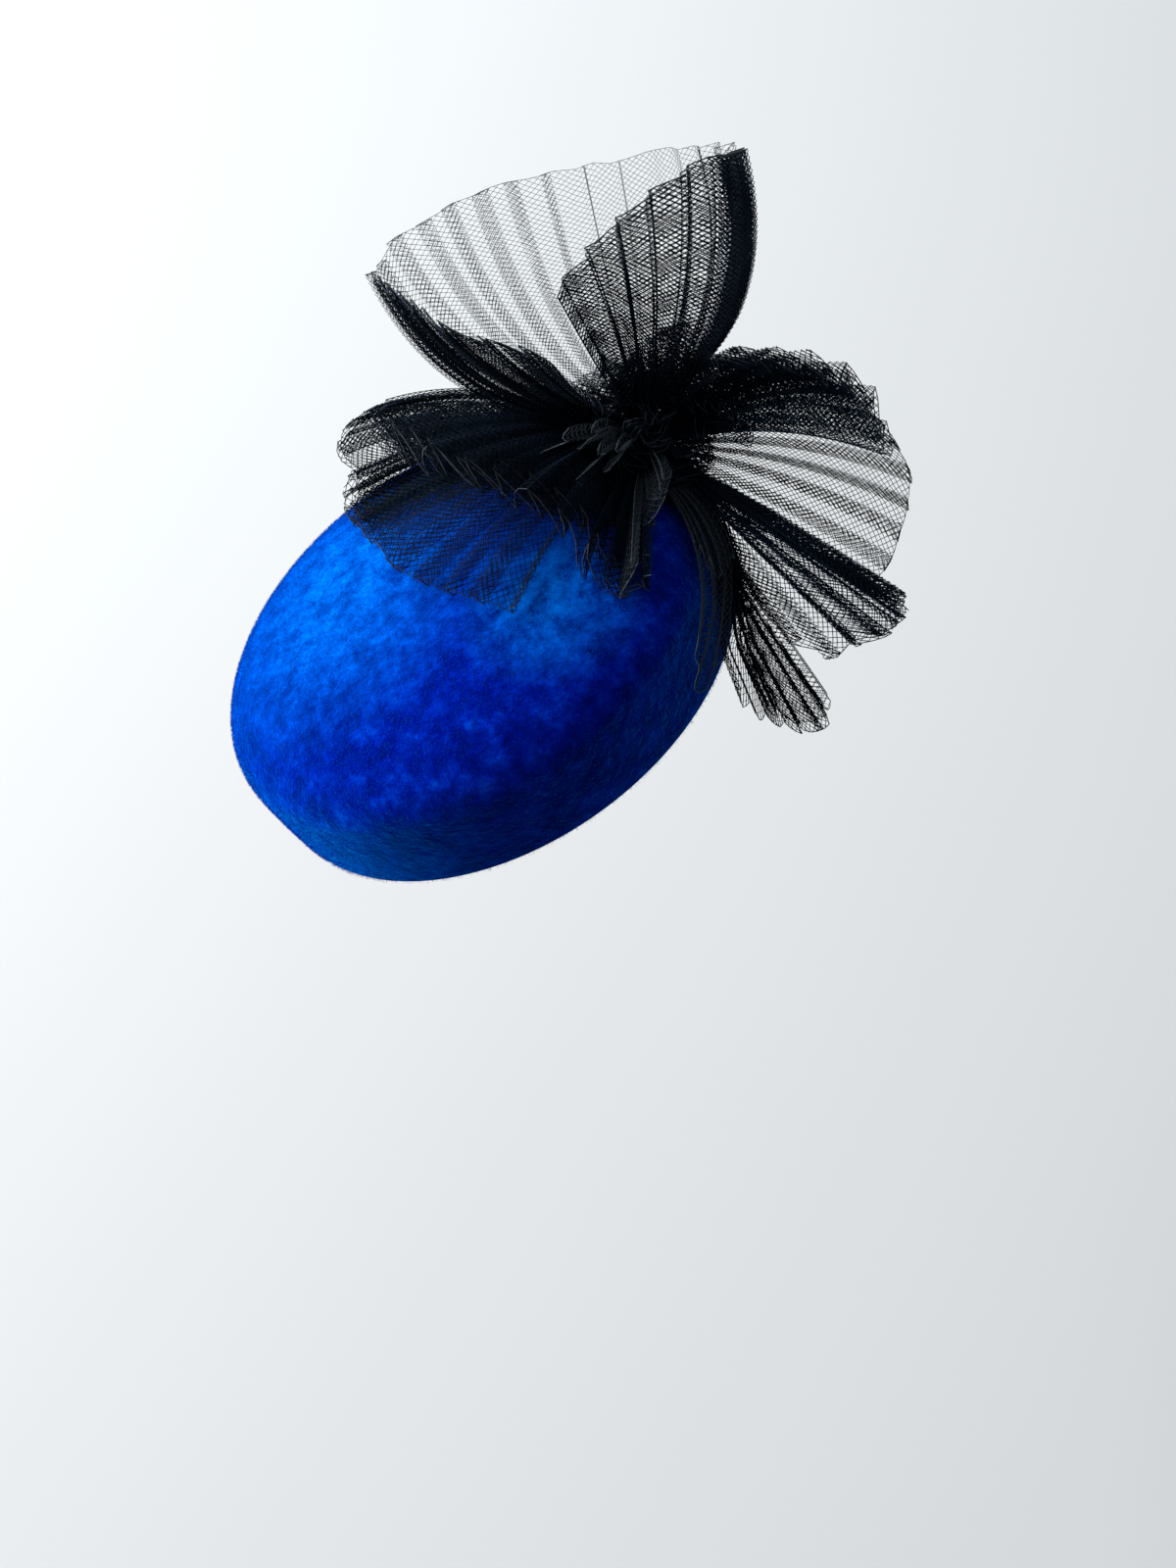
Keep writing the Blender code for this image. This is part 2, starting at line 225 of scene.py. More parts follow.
# Further layers of the folded net over a stretch of a fan, from start to end as shares of its
# width: reach as a share of the fan's, depth as a share of PLEAT_DEPTH, lean and slope as above
GATHER = ("fan", "reach", "start", "end", "pleats", "depth", "lean", "slope")
GATHERS = (
    ("top_loop", 0.985, 0.00, 0.19, 6, 0.4, 0.8, 0.6),
    ("top_loop", 0.450, 0.00, 0.20, 6, 1.2, 1.2, 1.0),
    ("top_loop", 0.980, 0.84, 1.00, 5, 0.9, 0.42, 0.5),
    ("top_loop", 0.970, 0.68, 0.80, 5, 1.0, 0.9, 0.6),
    ("top_loop", 0.420, 0.78, 1.00, 8, 1.1, 1.2, 0.8),
    ("top_loop", 0.270, 0.00, 1.00, 18, 1.1, 1.3, 1.0),
    ("right_fan", 0.970, 0.00, 1.00, 8, 1.2, 1.0, 0.7),
    ("right_fan", 0.450, 0.00, 1.00, 7, 1.0, 1.1, 1.0),
    ("right_loop", 0.250, 0.00, 1.00, 12, 0.7, 1.2, 1.0),
    ("lower_leaf", 0.985, 0.00, 1.00, 6, 1.0, 1.2, 0.8),
    ("lower_leaf", 0.500, 0.00, 1.00, 6, 0.8, 1.2, 1.0),
    ("lower_back", 1.000, 0.00, 1.00, 4, 0.8, 0.6, 1.0),
    ("tail", 0.970, 0.35, 1.00, 4, 0.8, 1.2, 0.7),
    ("tail", 0.600, 0.00, 1.00, 6, 0.6, 1.0, 1.0),
    ("side_leaf", 0.600, 0.00, 1.00, 5, 0.7, 1.0, 1.0),
    ("left_fan", 0.970, 0.00, 0.33, 4, 1.0, 1.0, 0.8),
    ("left_fan", 0.930, 0.00, 0.22, 4, 1.3, 1.3, 1.0),
    ("left_fan", 0.500, 0.00, 1.00, 9, 0.9, 1.2, 1.0),
    ("left_back_fan", 0.970, 0.00, 1.00, 5, 0.8, 1.0, 0.8),
    ("left_back_fan", 0.600, 0.00, 1.00, 6, 0.8, 1.0, 1.0),
    ("front_ruffle", 1.020, 0.00, 0.55, 5, 2.0, 1.0, 0.7),
    ("front_ruffle", 1.060, 0.00, 0.30, 3, 2.0, 1.0, 1.0),
    ("front_ruffle", 0.850, 0.00, 1.00, 11, 1.2, 1.3, 1.0),
    ("front_ruffle", 0.620, 0.00, 1.00, 9, 1.4, 1.2, 0.7),
)
LOWER_BACK_RIBS = (
    (-82, -25, 0.95, 0.0),
    (-85, -31, 0.92, 0.0),
    (-87, -35, 0.84, 0.0),
    (-90, -40, 0.74, 0.0),
    (-88, -44, 0.60, 0.0),
    (-85, -49, 0.46, 0.0),
)

# Crumpled ruffles that hide the knot: rings of net round a way out of it
RUFFLE = ("turn", "rise", "half_angle", "reach", "pleats")
RUFFLES = (
    (-90, 46, 62, 0.027, 14),
    (-80, 40, 44, 0.025, 11),
    (-105, 52, 28, 0.024, 8),
    (-90, 46, 12, 0.024, 5),
)
RUFFLE_DEPTH = 1.3
RUFFLE_LEAN = 1.2
RUFFLE_STEPS = 12
RUFFLE_UNEVEN = 0.15

FLAP = ("turn", "rise", "half_angle")
FLAPS = (
    (-140, 47, 8),
    (-122, 34, 8),
    (-103, 10, 8),
)
FLAP_RIB = ("side", "reach", "arch")
FLAP_RIBS = (
    (-1, 0.86, 0.05),
    (0, 1.00, 0.05),
    (1, 0.90, 0.05),
)
FLAP_PLEATS = 1
FLAP_CLEARANCE_SHARE = 0.3
# Painted highlight: how much paler the flaps and strips and their free edges are, for glints on their
# folds
FLAP_HIGHLIGHT_GREY = 0.35
FLAP_EDGE_HIGHLIGHT_GREY = 0.9

# Longer strips of the same kind between the flaps
STRIP = ("turn", "rise", "half_angle", "reach")
STRIPS = (
    (-140, 30, 13, 0.039),
    (-112, 2, 12, 0.041),
    (-165, 38, 13, 0.042),
    (-127, -4, 9, 0.064),
)
STRIP_PLEATS = 2
STRIP_FOLDING = ((0.0, 0.5, 0.7, 1.0), (1.0, 0.5, 0.7, 1.0))

# Pile of the velvet
# Painted sheen: round these spots the velvet and its pile are tinted azure in patches, light on the
# pile painted into its colour
PAINTED_SHEEN_SPOT = ("x", "y", "z", "radius")
PAINTED_SHEEN_SPOTS = (
    (-0.026, 0.020, 0.060, 0.067),
    (0.027, -0.040, 0.057, 0.034),
)
PILE_COUNT = 170000
PILE_LENGTH = 0.0008
PILE_WIDTH = 0.00015
PILE_LEAN = 0.55

# Strands of the net
CELL = 0.00160
STRAND = 0.00032
EDGE_CORD = 0.00038
NODE_GAP = 0.0032
TUBE_SIDES = 3
FOLD_ROUNDING = 0.97
CLOTH_SHARE = 0.9
PLEAT_JITTER = 0.18
FOLD_JITTER = 0.10
EDGE_JITTER = 0.012
STRAND_CLEARANCE = 0.0008
STRAND_LIFT_SHARE = 0.45
START_JITTER = 0.08
OPENING_POWER = 0.8
EDGE_STEPS = 4
SIDE_STEPS = 31
SEED = 7

# Small steps over which the net's directions are measured, in folds, in shares and in metres
ARCH_STEP = 0.05
FOLD_STEP = 0.04
SHARE_STEP = 0.004
STRAND_STEP = 0.0004

# Camera: the distance and angles at which the crown's outline fits the photo
CAMERA_DISTANCE = 0.75
CAMERA_ELEVATION = 45.7
CAMERA_ROLL = 35.3
VIEW_ANGLE = 40.0
PHOTO_WIDTH = 1200
PHOTO_HEIGHT = 1600
RIM_CENTRE_X = 513
RIM_CENTRE_Y = 693
SENSOR = 36.0

# Soft round panels: way is where each stands in the camera's axes, right, up and back
LIGHT = ("name", "way", "distance", "size", "power", "colour")
LIGHTS = (
    ("window", (-0.88, 0.36, 0.20), 3.0, 3.0, 620.0, (1.0, 0.99, 0.97)),
    ("sky", (-0.45, 0.85, -0.25), 3.0, 2.4, 250.0, (0.92, 1.0, 1.0)),
    ("fill", (0.3, 0.5, 1.0), 1.6, 1.2, 10.0, (0.95, 0.98, 1.0)),
)
WORLD_COLOUR = (0.93, 0.96, 1.0, 1.0)
WORLD_STRENGTH = 0.30
FLOOR_COLOUR = (0.134, 0.137, 0.142)
FLOOR_DROP = 0.50
FLOOR_SIZE = 12.0


def new_mesh(name, points, faces):
    """A smooth mesh from an array of points and an array of faces that all have as many corners."""
    mesh = bpy.data.meshes.new(name)
    mesh.vertices.add(len(points))
    mesh.vertices.foreach_set("co", np.asarray(points, np.float32).ravel())
    mesh.loops.add(faces.size)
    mesh.loops.foreach_set("vertex_index", faces.astype(np.int32).ravel())
    mesh.polygons.add(len(faces))
    mesh.polygons.foreach_set("loop_start", np.arange(0, faces.size, faces.shape[1], dtype=np.int32))
    mesh.update(calc_edges=True)
    mesh.shade_smooth()
    return mesh


def new_piece(name, mesh, material):
    piece = bpy.data.objects.new(name, mesh)
    bpy.context.scene.collection.objects.link(piece)
    piece.data.materials.append(material)
    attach(piece, "root")
    return piece


# Materials


def new_material(name):
    material = bpy.data.materials.new(name)
    material.use_nodes = True
    nodes = material.node_tree.nodes
    return material, nodes, material.node_tree.links, nodes["Principled BSDF"]


def add_noise(nodes, links, source, scale, detail=3.0, roughness=0.55):
    noise = nodes.new("ShaderNodeTexNoise")
    noise.inputs["Scale"].default_value = scale
    noise.inputs["Detail"].default_value = detail
    noise.inputs["Roughness"].default_value = roughness
    links.new(source, noise.inputs["Vector"])
    return noise.outputs["Fac"]


def add_ramp(nodes, links, source, stops):
    ramp = nodes.new("ShaderNodeValToRGB")
    while len(ramp.color_ramp.elements) < len(stops):
        ramp.color_ramp.elements.new(0.5)
    for element, (place, colour) in zip(ramp.color_ramp.elements, stops):
        element.position = place
        element.color = (*colour, 1.0)
    links.new(source, ramp.inputs["Fac"])
    return ramp.outputs["Color"]


def add_painted_sheen(nodes, links, place, colour, patches, share):
    """The colour with a painted sheen: tinted azure in patches round two spots placed where the photo
    is azure, where light catches the pile.
    """
    sheen_spot_mask = nodes.new("ShaderNodeMath")
    sheen_spot_mask.operation = "MAXIMUM"
    for number, row in enumerate(PAINTED_SHEEN_SPOTS):
        spot = dict(zip(PAINTED_SHEEN_SPOT, row))
        scale = 1.0 / spot["radius"]
        moved = nodes.new("ShaderNodeMapping")
        moved.inputs["Location"].default_value = [-scale * spot[axis] for axis in "xyz"]
        moved.inputs["Scale"].default_value = [scale] * 3
        links.new(place, moved.inputs["Vector"])
        near = nodes.new("ShaderNodeTexGradient")
        near.gradient_type = "SPHERICAL"
        links.new(moved.outputs["Vector"], near.inputs["Vector"])
        links.new(near.outputs["Fac"], sheen_spot_mask.inputs[number])
    patchy = nodes.new("ShaderNodeMapRange")
    patchy.inputs["From Min"].default_value = 0.38
    patchy.inputs["From Max"].default_value = 0.66
    patchy.inputs["To Min"].default_value = 0.15
    links.new(patches, patchy.inputs["Value"])
    both = nodes.new("ShaderNodeMath")
    both.operation = "MULTIPLY"
    links.new(sheen_spot_mask.outputs["Value"], both.inputs[0])
    links.new(patchy.outputs["Result"], both.inputs[1])
    azure = nodes.new("ShaderNodeMix")
    azure.data_type = "RGBA"
    azure.inputs[7].default_value = share
    links.new(both.outputs["Value"], azure.inputs[0])
    links.new(colour, azure.inputs[6])
    return azure.outputs[2]


def velvet_material():
    """Ultramarine silk velvet: mottled where the pile is brushed, with a painted sheen, azure in
    patches round two spots.
    """
    material, nodes, links, shader = new_material("velvet")
    place = nodes.new("ShaderNodeTexCoord").outputs["Object"]
    patches = add_noise(nodes, links, place, 130.0, 7.0, 0.70)
    colour = add_ramp(nodes, links, patches, (
        (0.36, (0.0, 0.0012, 0.065)),
        (0.48, (0.0, 0.0022, 0.105)),
        (0.58, (0.0, 0.0060, 0.160)),
        (0.70, (0.0, 0.0200, 0.240)),
    ))
    # Painted sheen: azure round the spots, where light catches the pile
    colour = add_painted_sheen(nodes, links, place, colour, patches, (0.0, 0.075, 0.320, 1.0))
    links.new(colour, shader.inputs["Base Color"])
    shader.inputs["Roughness"].default_value = 0.85
    shader.inputs["Specular IOR Level"].default_value = 0.0
    shader.inputs["Sheen Weight"].default_value = 1.0
    shader.inputs["Sheen Roughness"].default_value = 0.30
    shader.inputs["Sheen Tint"].default_value = (0.0, 0.20, 0.80, 1.0)
    brushed = nodes.new("ShaderNodeBump")
    brushed.inputs["Strength"].default_value = 0.7
    brushed.inputs["Distance"].default_value = 0.0022
    links.new(add_noise(nodes, links, place, 170.0, 4.0, 0.6), brushed.inputs["Height"])
    grain = nodes.new("ShaderNodeBump")
    grain.inputs["Strength"].default_value = 0.8
    grain.inputs["Distance"].default_value = 0.0006
    links.new(add_noise(nodes, links, place, 1300.0, 4.0, 0.7), grain.inputs["Height"])
    links.new(brushed.outputs["Normal"], grain.inputs["Normal"])
    links.new(grain.outputs["Normal"], shader.inputs["Normal"])
    return material


def pile_material():
    """The pile's fibres, which let some light through and so glow azure against it, with the same
    painted sheen in azure patches.
    """
    material, nodes, links, shader = new_material("pile")
    place = nodes.new("ShaderNodeTexCoord").outputs["Object"]
    patches = add_noise(nodes, links, place, 150.0, 6.0, 0.65)
    colour = add_ramp(nodes, links, patches, (
        (0.36, (0.0, 0.0020, 0.085)),
        (0.52, (0.0, 0.0050, 0.150)),
        (0.68, (0.0, 0.0260, 0.290)),
    ))
    # Painted sheen, as on the velvet
    colour = add_painted_sheen(nodes, links, place, colour, patches, (0.0, 0.190, 0.560, 1.0))
    links.new(colour, shader.inputs["Base Color"])
    shader.inputs["Roughness"].default_value = 0.8
    shader.inputs["Specular IOR Level"].default_value = 0.0
    through = nodes.new("ShaderNodeBsdfTranslucent")
    through.inputs["Color"].default_value = (0.0, 0.040, 0.320, 1.0)
    mixed = nodes.new("ShaderNodeMixShader")
    mixed.inputs["Fac"].default_value = 0.35
    links.new(shader.outputs["BSDF"], mixed.inputs[1])
    links.new(through.outputs["BSDF"], mixed.inputs[2])
    links.new(mixed.outputs["Shader"], nodes["Material Output"].inputs["Surface"])
    return material


def net_material():
    """Near-black nylon monofilament, glossier in some strands, with painted highlight: greyer along
    the edges and on some pieces.
    """
    material, nodes, links, shader = new_material("net")
    place = nodes.new("ShaderNodeTexCoord").outputs["Object"]
    colour = add_ramp(nodes, links, add_noise(nodes, links, place, 60.0), (
        (0.35, (0.0004, 0.0016, 0.0040)),
        (0.70, (0.0010, 0.0036, 0.0080)),
    ))
    # Painted highlight: strands mixed towards a paler colour where the mesh's attribute says
    painted_highlight = nodes.new("ShaderNodeAttribute")
    painted_highlight.attribute_name = "painted_highlight"
    greyer = nodes.new("ShaderNodeMix")
    greyer.data_type = "RGBA"
    greyer.inputs[7].default_value = (0.034, 0.043, 0.052, 1.0)
    links.new(painted_highlight.outputs["Fac"], greyer.inputs[0])
    links.new(colour, greyer.inputs[6])
    links.new(greyer.outputs[2], shader.inputs["Base Color"])
    gloss = nodes.new("ShaderNodeMapRange")
    gloss.inputs["From Min"].default_value = 0.56
    gloss.inputs["From Max"].default_value = 0.76
    gloss.inputs["To Min"].default_value = 0.90
    gloss.inputs["To Max"].default_value = 0.18
    links.new(add_noise(nodes, links, place, 500.0), gloss.inputs["Value"])
    links.new(gloss.outputs["Result"], shader.inputs["Roughness"])
    shader.inputs["Specular IOR Level"].default_value = 0.025
    return material


def plain_material(name, colour, roughness):
    material, nodes, links, shader = new_material(name)
    place = nodes.new("ShaderNodeTexCoord").outputs["Object"]
    tone = [(0.0, [0.985 * channel for channel in colour]), (1.0, colour)]
    links.new(add_ramp(nodes, links, add_noise(nodes, links, place, 3.0), tone),
              shader.inputs["Base Color"])
    shader.inputs["Roughness"].default_value = roughness
    shader.inputs["Specular IOR Level"].default_value = 0.1
    return material


# Crown


def dome_height(share):
    return WALL_HEIGHT + DOME_RISE * (1.0 - share**DOME_POWER) ** (1.0 / DOME_POWER)


def crown_outline(dome_points=60, wall_points=16):
    """Outer line of the crown over its long axis, from the top down to the rim."""
    angle = np.linspace(0.0, 0.5 * math.pi, dome_points)
    share = np.minimum(np.sin(angle) ** (2.0 / DOME_POWER), 1.0)
    dome = np.stack([0.5 * CROWN_LENGTH * share, dome_height(share)], axis=1)
    down = np.linspace(0.0, 1.0, wall_points + 1)[1:]
    wall = np.stack([0.5 * CROWN_LENGTH - RIM_INSET * down**2, WALL_HEIGHT * (1.0 - down)], axis=1)
    return np.vstack([dome, wall])


def crown_section(rim_points=10):
    """The whole wall in section: outside, round the turned rim, and back up inside."""
    outer = crown_outline()
    ways = np.gradient(outer, axis=0)
    normals = np.stack([-ways[:, 1], ways[:, 0]], axis=1)
    normals /= np.linalg.norm(normals, axis=1, keepdims=True)
    inner = outer - np.stack([np.abs(normals[:, 0]), np.abs(normals[:, 1])], axis=1) * CROWN_WALL
    inner[:, 0] = np.maximum(inner[:, 0], 0.0)
    radius = 0.5 * CROWN_WALL
    middle = 0.5 * (outer[-1] + inner[-1])
    turn = np.linspace(0.0, math.pi, rim_points + 2)[1:-1]
    rim = middle + radius * np.stack([np.cos(turn), -np.sin(turn)], axis=1)
    rim[:, 1] += radius
    outer[:, 1] = np.maximum(outer[:, 1], radius)
    inner[:, 1] = np.maximum(inner[:, 1], radius)
    return np.vstack([outer, rim, inner[::-1]])


def build_crown(material, steps=240):
    section = crown_section()
    around = np.arange(steps) * 2.0 * math.pi / steps
    x = section[:, 0][None, :] * np.cos(around)[:, None]
    y = section[:, 0][None, :] * np.sin(around)[:, None] * CROWN_WIDTH / CROWN_LENGTH
    z = np.broadcast_to(section[:, 1], x.shape)
    points = np.stack([x, y, z], axis=2).reshape(-1, 3)
    count = len(section)
    rows = np.arange(steps)[:, None]
    columns = np.arange(count - 1)[None, :]
    here, there = rows * count + columns, (rows + 1) % steps * count + columns
    faces = np.stack([here, here + 1, there + 1, there], axis=2).reshape(-1, 4)
    mesh = new_mesh("crown_velvet", points, faces)
    piece = new_piece("crown_velvet", mesh, material)
    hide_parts("crown")


def build_pile(material):
    """Fibres of the velvet's pile, a triangle each, brushed one way and another in patches."""
    random = np.random.default_rng(SEED)
    flat = CROWN_WIDTH / CROWN_LENGTH
    outer = crown_outline()
    steps = np.diff(outer, axis=0)
    lengths = np.linalg.norm(steps, axis=1)
    area = np.cumsum(0.5 * (outer[1:, 0] + outer[:-1, 0]) * lengths)
    spot = np.searchsorted(area / area[-1], random.random(PILE_COUNT))
    line = outer[spot] + steps[spot] * random.random(PILE_COUNT)[:, None]
    down = steps[spot] / lengths[spot][:, None]
    turn = random.uniform(0.0, 2.0 * math.pi, PILE_COUNT)
    cos, sin = np.cos(turn), np.sin(turn)
    roots = np.stack([line[:, 0] * cos, line[:, 0] * sin * flat, line[:, 1]], axis=1)
    along = np.stack([down[:, 0] * cos, down[:, 0] * sin * flat, down[:, 1]], axis=1)
    around = np.stack([-sin, cos * flat, np.zeros(PILE_COUNT)], axis=1)
    normals = np.cross(along, around)
    for vectors in (along, around, normals):
        vectors /= np.linalg.norm(vectors, axis=1, keepdims=True)
    x, y, z = (roots * 1000.0).T
    brushed = 2.2 * np.sin(0.31 * x + 0.9 * np.sin(0.23 * y)) + 2.0 * np.sin(0.37 * y + 0.21 * z)
    brushed = brushed + random.normal(0.0, 1.0, PILE_COUNT)
    lean = PILE_LEAN * random.uniform(0.3, 1.0, PILE_COUNT)
    ways = along * (np.cos(brushed) * lean)[:, None] + around * (np.sin(brushed) * lean)[:, None]
    ways = ways + normals
    ways /= np.linalg.norm(ways, axis=1, keepdims=True)
    tips = roots + ways * (PILE_LENGTH * random.uniform(0.6, 1.2, PILE_COUNT))[:, None]
    sides = np.cross(ways, random.normal(size=(PILE_COUNT, 3)))
    sides *= 0.5 * PILE_WIDTH / np.linalg.norm(sides, axis=1, keepdims=True)
    points = np.stack([roots - sides, roots + sides, tips], axis=1).reshape(-1, 3)
    mesh = new_mesh("crown_pile", points, np.arange(3 * PILE_COUNT).reshape(-1, 3))
    piece = new_piece("crown_pile", mesh, material)


# Net


def direction(turn, rise):
    turn, rise = math.radians(turn), math.radians(rise)
    return np.array([
        math.cos(turn) * math.cos(rise),
        math.sin(turn) * math.cos(rise),
        math.sin(rise),
    ])


def knot_centre():
    turn = math.radians(KNOT_TURN)
    half_length, half_width = 0.5 * CROWN_LENGTH, 0.5 * CROWN_WIDTH
    inner, outer = KNOT_PLACE_SHARE - SLOPE_STEP_SHARE, KNOT_PLACE_SHARE + SLOPE_STEP_SHARE
    slope = (dome_height(outer) - dome_height(inner)) / (outer - inner)
    seat = np.array([
        half_length * KNOT_PLACE_SHARE * math.cos(turn),
        half_width * KNOT_PLACE_SHARE * math.sin(turn),
        dome_height(KNOT_PLACE_SHARE),
    ])
    normal = np.array([
        -slope * math.cos(turn) / half_length,
        -slope * math.sin(turn) / half_width,
        1.0,
    ])
    return seat + normal / np.linalg.norm(normal) * (KNOT_RADIUS + SEAT_GAP)


def smooth_curve(keys):
    """A smooth curve through the key rows, CURVE_STEPS points for each stretch."""
    keys = np.asarray(keys, float)
    padded = np.vstack([2 * keys[0] - keys[1], keys, 2 * keys[-1] - keys[-2]])
    rows = []
    for index in range(1, len(padded) - 2):
        before, start, end, after = padded[index - 1:index + 3]
        for step in range(CURVE_STEPS):
            t = step / CURVE_STEPS
            rows.append(0.5 * (
                2 * start
                + (end - before) * t
                + (2 * before - 5 * start + 4 * end - after) * t**2
                + (3 * start - before - 3 * end + after) * t**3
            ))
    rows.append(padded[-2])
    return np.array(rows)


def clear_of_crown(points, clearance):
    """The points, or where they lie over the crown if they would be in it or nearer than that."""
    share = np.hypot(points[:, 0] / (0.5 * CROWN_LENGTH), points[:, 1] / (0.5 * CROWN_WIDTH))
    above = np.maximum(points[:, 2] - WALL_HEIGHT, 0.0)
    level = (share**DOME_POWER + (above / DOME_RISE) ** DOME_POWER) ** (1.0 / DOME_POWER)
    middle = np.zeros_like(points)
    middle[:, 2] = np.minimum(points[:, 2], WALL_HEIGHT)
    out = points - middle
    goal = 1.0 + clearance * level / np.linalg.norm(out, axis=1)
    return middle + out * np.maximum(1.0, goal / level)[:, None]


class Fan:
    """A pleated fan as a surface: place counts fold lines across it, share goes root to edge."""

    def __init__(self, ribs, reach, pleats, arch_way, clearance, folding, seed, slope=1.0,
                 start=0.0, end=1.0, highlight_grey=0.0, edge_highlight_grey=0.2):
        self.folds = 2 * pleats
        self.slope = slope
        # Painted highlight: paler strands over the piece and along its free edge
        self.highlight_grey = highlight_grey
        self.edge_highlight_grey = edge_highlight_grey
        self.arch_way = arch_way
        self.clearance = clearance * CROWN_CLEARANCE
        self.centre = knot_centre()
        keys = []
        for row in ribs:
            rib = dict(zip(RIB, row))
            tip = direction(rib["turn"], rib["rise"]) * rib["reach"] * reach
            keys.append(np.append(tip, rib["arch"] * reach))
        self.curve = smooth_curve(keys)
        steps = np.linalg.norm(np.diff(self.curve[:, :3], axis=0), axis=1)
        along = np.concatenate([[0.0], np.cumsum(steps)])
        self.places = (along / along[-1] - start) / (end - start) * self.folds
        self.random = np.random.default_rng(seed)
        self.numbers = np.arange(self.folds + 1.0)
        across, depth, lean, strand = np.array(folding).T
        share = self.numbers / self.folds
        self.depths = np.interp(share, across, depth) * PLEAT_DEPTH * self.uneven(PLEAT_JITTER)
        self.leans = np.interp(share, across, lean) * self.uneven(PLEAT_JITTER)
        self.strands = np.interp(share, across, strand)
        self.shifts = self.uneven(FOLD_JITTER) - 1.0
        self.longer = self.uneven(EDGE_JITTER)
        self.leans[[0, -1]] = self.shifts[[0, -1]] = 0.0
        rim, _ = self.surface(self.numbers, np.full(self.folds + 1, CLOTH_SHARE))
        out = rim[1:] + rim[:-1] - 2.0 * self.centre
        out /= np.linalg.norm(out, axis=1, keepdims=True)
        widths = np.linalg.norm(np.cross(np.diff(rim, axis=0), out), axis=1)
        self.cloth = np.concatenate([[0.0], np.cumsum(widths)])

    def uneven(self, amount):
        return 1.0 + amount * self.random.uniform(-1.0, 1.0, self.folds + 1)

    def at_folds(self, place, values):
        return np.interp(place, self.numbers, values)

    def rib(self, place):
        return np.stack([np.interp(place, self.places, self.curve[:, i]) for i in range(4)], axis=1)

    def length(self, place):
        """Length of the cloth from the knot to the free edge."""
        reach = np.linalg.norm(self.rib(place)[:, :3], axis=1)
        return reach * self.at_folds(place, self.longer) - KNOT_RADIUS - ROOT_GAP

    def base(self, place, share):
        rib = self.rib(place)
        tips, arches = rib[:, :3], rib[:, 3]
        if self.arch_way == "out":
            ahead = self.rib(np.minimum(place + ARCH_STEP, self.folds))[:, :3]
            behind = self.rib(np.maximum(place - ARCH_STEP, 0.0))[:, :3]
            ways = np.cross(tips, ahead - behind)
            ways /= np.linalg.norm(ways, axis=1, keepdims=True)
        else:
            ways = direction(WORN_UP_TURN, WORN_UP_RISE)[None, :]
        reach = np.linalg.norm(tips, axis=1)
        first = (KNOT_RADIUS + ROOT_GAP) / reach
        last = self.at_folds(place, self.longer)
        out = first + (last - first) * share
        points = self.centre + tips * out[:, None]
        points = points + ways * (arches * 4.0 * share * (1.0 - share))[:, None]
        return clear_of_crown(points, self.clearance)

    def surface(self, place, share):
        """Points on the pleated cloth and the base surface's normals there."""
        share = np.clip(share, 0.0, 1.0)
        wave = -np.cos(math.pi * place)
        wave = np.arcsin(FOLD_ROUNDING * wave) / math.asin(FOLD_ROUNDING)
        moved = place + self.at_folds(place, self.shifts) + self.at_folds(place, self.leans) * wave
        moved = np.clip(moved, 0.0, self.folds)
        over = self.base(np.minimum(moved + FOLD_STEP, self.folds), share)
        under = self.base(np.maximum(moved - FOLD_STEP, 0.0), share)
        further = self.base(moved, np.minimum(share + SHARE_STEP, 1.0))
        nearer = self.base(moved, np.maximum(share - SHARE_STEP, 0.0))
        normals = np.cross(over - under, further - nearer)
        normals /= np.linalg.norm(normals, axis=1, keepdims=True)
        opened = np.minimum(1.0, share / PLEAT_FULL_SHARE) ** OPENING_POWER
        fold = wave * opened * self.at_folds(place, self.depths)
        points = self.base(moved, share) + normals * fold[:, None]
        return clear_of_crown(points, STRAND_CLEARANCE), normals

    def area(self):
        """Area of the pleated cloth as it lies."""
        places = np.linspace(0.0, self.folds, 2 * self.folds + 1)
        shares = np.linspace(0.0, 1.0, SIDE_STEPS)
        across, along = np.meshgrid(places, shares, indexing="ij")
        grid, _ = self.surface(across.ravel(), along.ravel())
        grid = grid.reshape(len(places), len(shares), 3)
        one, other = grid[1:, 1:] - grid[:-1, :-1], grid[1:, :-1] - grid[:-1, 1:]
        return 0.5 * np.linalg.norm(np.cross(one, other), axis=2).sum()


def tube_rings(fan, place, height, way, radius, lift):
    """Three points round a strand at each node: place and height in the cloth, way its slope."""
    length = fan.length(place)
    radius = radius * fan.at_folds(place, fan.strands)[:, None]
    points, normals = fan.surface(place, height / length)
    across = fan.at_folds(place, fan.cloth)
    ahead = np.interp(across + way[:, 0] * STRAND_STEP, fan.cloth, fan.numbers)
    behind = np.interp(across - way[:, 0] * STRAND_STEP, fan.cloth, fan.numbers)
    high, low = height + way[:, 1] * STRAND_STEP, height - way[:, 1] * STRAND_STEP
    far, _ = fan.surface(ahead, np.clip(high / fan.length(ahead), 0.0, 1.0))
    near, _ = fan.surface(behind, np.clip(low / fan.length(behind), 0.0, 1.0))
    tangents = far - near
    tangents /= np.linalg.norm(tangents, axis=1, keepdims=True) + 1e-12
    sides = np.cross(tangents, normals)
    sides /= np.linalg.norm(sides, axis=1, keepdims=True) + 1e-12
    ups = np.cross(sides, tangents)
    points = points + ups * lift
    rings = []
    for turn in np.arange(TUBE_SIDES) * 2.0 * math.pi / TUBE_SIDES:
        rings.append(points + (ups * math.cos(turn) + sides * math.sin(turn)) * radius)
    return np.stack(rings, axis=1).reshape(-1, 3)


def tube_faces(links, offset):
    start, end = links[:, 0] * TUBE_SIDES + offset, links[:, 1] * TUBE_SIDES + offset
    faces = []
    for side in range(TUBE_SIDES):
        after = (side + 1) % TUBE_SIDES
        faces.append(np.stack([start + side, start + after, end + after, end + side], axis=1))
    return np.concatenate(faces)


